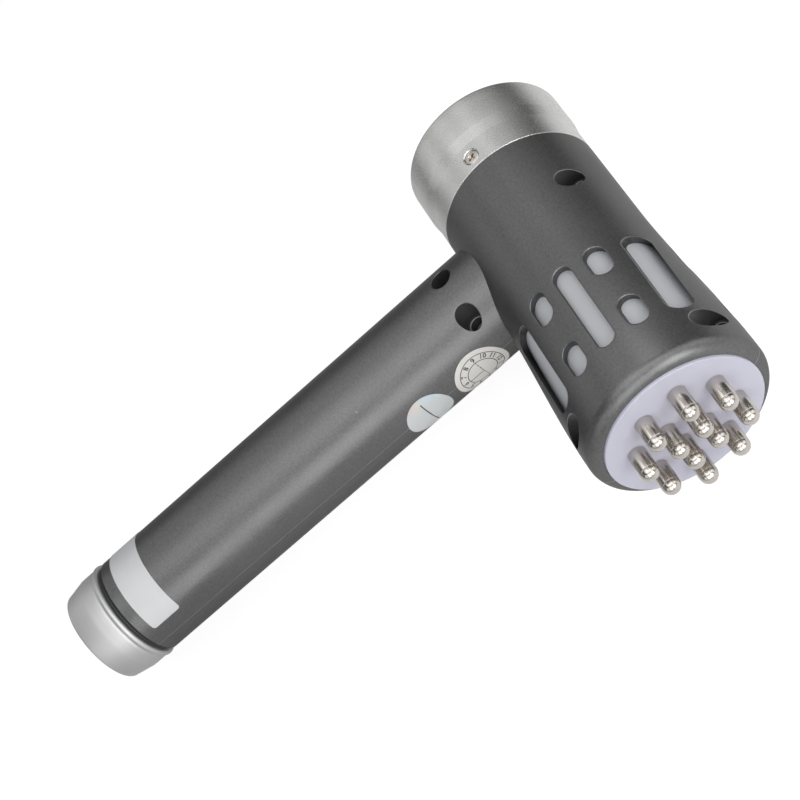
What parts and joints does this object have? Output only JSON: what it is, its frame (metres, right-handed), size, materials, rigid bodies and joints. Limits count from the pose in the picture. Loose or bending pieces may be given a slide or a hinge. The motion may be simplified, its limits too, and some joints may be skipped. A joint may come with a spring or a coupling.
{
  "type": "infrared light therapy wand",
  "caption": "Hammer-shaped hand-held light therapy wand: windowed barrel, round handle, milky front plate with domed metal pins, screw-on battery cap and thumb button.",
  "frame": {"origin": "centre of the rear cap's flat end face, on the barrel's axis", "axes": "+X along the barrel towards the pins; the handle leaves the barrel along -Y; +Z square to the plane where the casing splits, so the wand lies on its side"},
  "size_m": [0.1474, 0.2361, 0.0622],
  "materials": {
    "casing": "gunmetal grey satin paint with a fine grain",
    "satin_aluminium": "bead-blasted and clear anodised",
    "tail_aluminium": "fine satin, clear anodised",
    "screw_steel": "nickel plated",
    "milky_plate": "milky with a faint violet tint, smooth",
    "milky_sleeve": "frosted, translucent",
    "polished_pins": "polished nickel",
    "contact_brass": "plain",
    "circuit_board": "green solder mask",
    "white_board": "white solder mask",
    "lamp_lens": "clear resin",
    "black_plastic": "moulded",
    "natural_plastic": "unpainted moulding",
    "black_rubber": "satin",
    "cell_wrap": "plain shrink film",
    "wire_sheath": "soft sheath",
    "silver_film": "brushed silver film",
    "paper_seal": "printed paper"
  },
  "bodies": {
    "casing": {"casing_upper": "casing", "casing_lower": "casing", "rear_cap": "satin_aluminium", "cap_screws": "screw_steel", "front_plate": "milky_plate", "outer_pins": "polished_pins", "inner_pins": "polished_pins", "pin_nuts": "contact_brass", "diffuser_sleeve": "milky_sleeve", "emitter_board": "circuit_board", "infrared_leds": "lamp_lens", "lamp_core": "satin_aluminium", "side_strips": "white_board", "side_leds": "lamp_lens", "driver_board": "circuit_board", "driver_parts": "black_plastic", "board_screws": "screw_steel", "casing_screws": "screw_steel", "battery": "cell_wrap", "battery_sleeve": "natural_plastic", "contact_carrier": "black_plastic", "front_contact": "contact_brass", "return_strip": "contact_brass", "thread_collar": "satin_aluminium", "switch_body": "black_plastic", "button_board": "circuit_board", "power_leads": "wire_sheath", "lamp_leads": "wire_sheath", "switch_leads": "wire_sheath", "tail_label": "silver_film", "dial_seal": "paper_seal", "round_seal": "silver_film"},
    "button": {"power_button": "black_rubber", "switch_plunger": "natural_plastic"},
    "seal": {"tail_ring": "black_rubber"},
    "cap": {"tail_cap": "tail_aluminium", "contact_disc": "contact_brass", "contact_spring": "screw_steel"}
  },
  "joints": [
    {"name": "button_press", "type": "slide", "parent": "casing", "child": "button", "axis": [1, 0, 0], "range_m": [0, 0.001], "stiffness_N_per_m": 800},
    {"name": "cap_travel", "type": "slide", "parent": "casing", "child": "seal", "axis": [0, -1, 0], "range_m": [0, 0.0105]},
    {"name": "cap_turn", "type": "hinge", "parent": "seal", "child": "cap", "pos_m": [0.05, -0.189, 0], "axis": [0, -1, 0], "range_deg": [0, 2520]}
  ],
  "couplings": [
    {"joint": "cap_travel", "follows": "cap_turn", "m_per_rad": 0.00023873}
  ]
}
